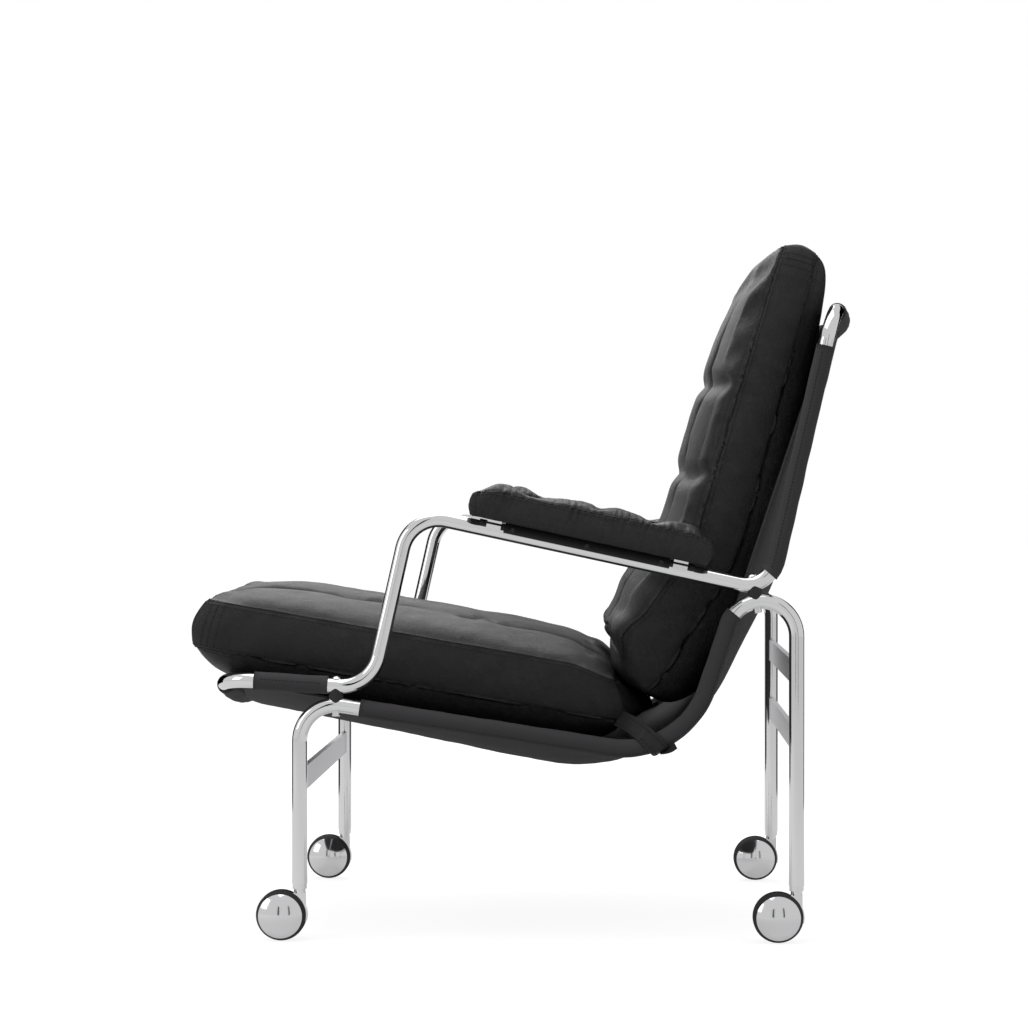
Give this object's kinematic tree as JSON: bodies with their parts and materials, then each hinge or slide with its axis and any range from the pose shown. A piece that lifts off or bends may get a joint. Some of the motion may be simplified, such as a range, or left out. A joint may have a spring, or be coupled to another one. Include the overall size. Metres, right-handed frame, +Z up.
{
  "type": "lounge chair",
  "caption": "Lounge chair: crossed bent chrome tubes with a canvas sling, tufted leather seat and back cushions, padded arms and swivelling ball casters.",
  "frame": {"origin": "on the floor, under the middle of the chair's box", "axes": "+Z up, -Y towards the front of the seat, +X towards the sitter's left"},
  "size_m": [0.7204, 0.8802, 0.9105],
  "materials": {
    "chrome": "bright chrome on bent tube",
    "caster_chrome": "bright chrome",
    "satin_chrome": "satin chrome on flat bar",
    "steel_inside": "plain zinc-plated steel, hidden",
    "black_plastic": "moulded black plastic",
    "canvas": "dark charcoal twill canvas",
    "leather": "soft black grained leather",
    "filling": "foam wrapped in wadding",
    "plywood": "plain birch plywood",
    "tread": "dark tread"
  },
  "bodies": {
    "root": {"front_rail": "chrome", "top_rail": "chrome", "arm_tube_left": "chrome", "arm_tube_right": "chrome", "leg_tube_left": "chrome", "leg_tube_right": "chrome", "crossing_bolts": "chrome", "crossing_nuts": "chrome", "channel_screws": "chrome", "arm_clips": "chrome", "rail_spigots": "steel_inside", "pad_screws": "steel_inside", "front_crossbar": "satin_chrome", "rear_crossbar_upper": "satin_chrome", "rear_crossbar_lower": "satin_chrome", "saddle_spacer_front_left": "black_plastic", "saddle_spacer_front_right": "black_plastic", "saddle_spacer_rear_left": "black_plastic", "saddle_spacer_rear_right": "black_plastic", "arm_channel_left": "black_plastic", "arm_channel_right": "black_plastic", "sling_panel": "canvas", "sling_front_hem": "canvas", "sling_top_hem": "canvas", "front_sleeve_left": "canvas", "front_sleeve_right": "canvas", "seat_sleeve_left": "canvas", "seat_sleeve_right": "canvas", "back_sleeve_left": "canvas", "back_sleeve_right": "canvas", "seat_cushion_cover": "leather", "back_cushion_cover": "leather", "arm_pad_cover_left": "leather", "arm_pad_cover_right": "leather", "seat_strap_left": "leather", "seat_strap_right": "leather", "seat_cushion_core": "filling", "back_cushion_core": "filling", "arm_pad_core_left": "filling", "arm_pad_core_right": "filling", "arm_pad_board_left": "plywood", "arm_pad_board_right": "plywood", "caster_sockets": "caster_chrome"},
    "fork_front_left": {"caster_fork_front_left": "caster_chrome"},
    "wheel_front_left": {"caster_wheels_front_left": "tread", "caster_domes_front_left": "caster_chrome", "caster_axle_front_left": "caster_chrome"},
    "fork_rear_left": {"caster_fork_rear_left": "caster_chrome"},
    "wheel_rear_left": {"caster_wheels_rear_left": "tread", "caster_domes_rear_left": "caster_chrome", "caster_axle_rear_left": "caster_chrome"},
    "fork_front_right": {"caster_fork_front_right": "caster_chrome"},
    "wheel_front_right": {"caster_wheels_front_right": "tread", "caster_domes_front_right": "caster_chrome", "caster_axle_front_right": "caster_chrome"},
    "fork_rear_right": {"caster_fork_rear_right": "caster_chrome"},
    "wheel_rear_right": {"caster_wheels_rear_right": "tread", "caster_domes_rear_right": "caster_chrome", "caster_axle_rear_right": "caster_chrome"}
  },
  "joints": [
    {"name": "swivel_front_left", "type": "hinge", "parent": "root", "child": "fork_front_left", "pos_m": [0.32, -0.296, 0.0675], "axis": [0, 0, 1], "continuous": true},
    {"name": "roll_front_left", "type": "hinge", "parent": "fork_front_left", "child": "wheel_front_left", "pos_m": [0.32, -0.32, 0.03286], "axis": [1, 0, 0], "continuous": true},
    {"name": "swivel_rear_left", "type": "hinge", "parent": "root", "child": "fork_rear_left", "pos_m": [0.32, 0.352, 0.0675], "axis": [0, 0, 1], "continuous": true},
    {"name": "roll_rear_left", "type": "hinge", "parent": "fork_rear_left", "child": "wheel_rear_left", "pos_m": [0.32, 0.328, 0.03286], "axis": [1, 0, 0], "continuous": true},
    {"name": "swivel_front_right", "type": "hinge", "parent": "root", "child": "fork_front_right", "pos_m": [-0.32, -0.296, 0.0675], "axis": [0, 0, 1], "continuous": true},
    {"name": "roll_front_right", "type": "hinge", "parent": "fork_front_right", "child": "wheel_front_right", "pos_m": [-0.32, -0.32, 0.03286], "axis": [1, 0, 0], "continuous": true},
    {"name": "swivel_rear_right", "type": "hinge", "parent": "root", "child": "fork_rear_right", "pos_m": [-0.32, 0.352, 0.0675], "axis": [0, 0, 1], "continuous": true},
    {"name": "roll_rear_right", "type": "hinge", "parent": "fork_rear_right", "child": "wheel_rear_right", "pos_m": [-0.32, 0.328, 0.03286], "axis": [1, 0, 0], "continuous": true}
  ]
}
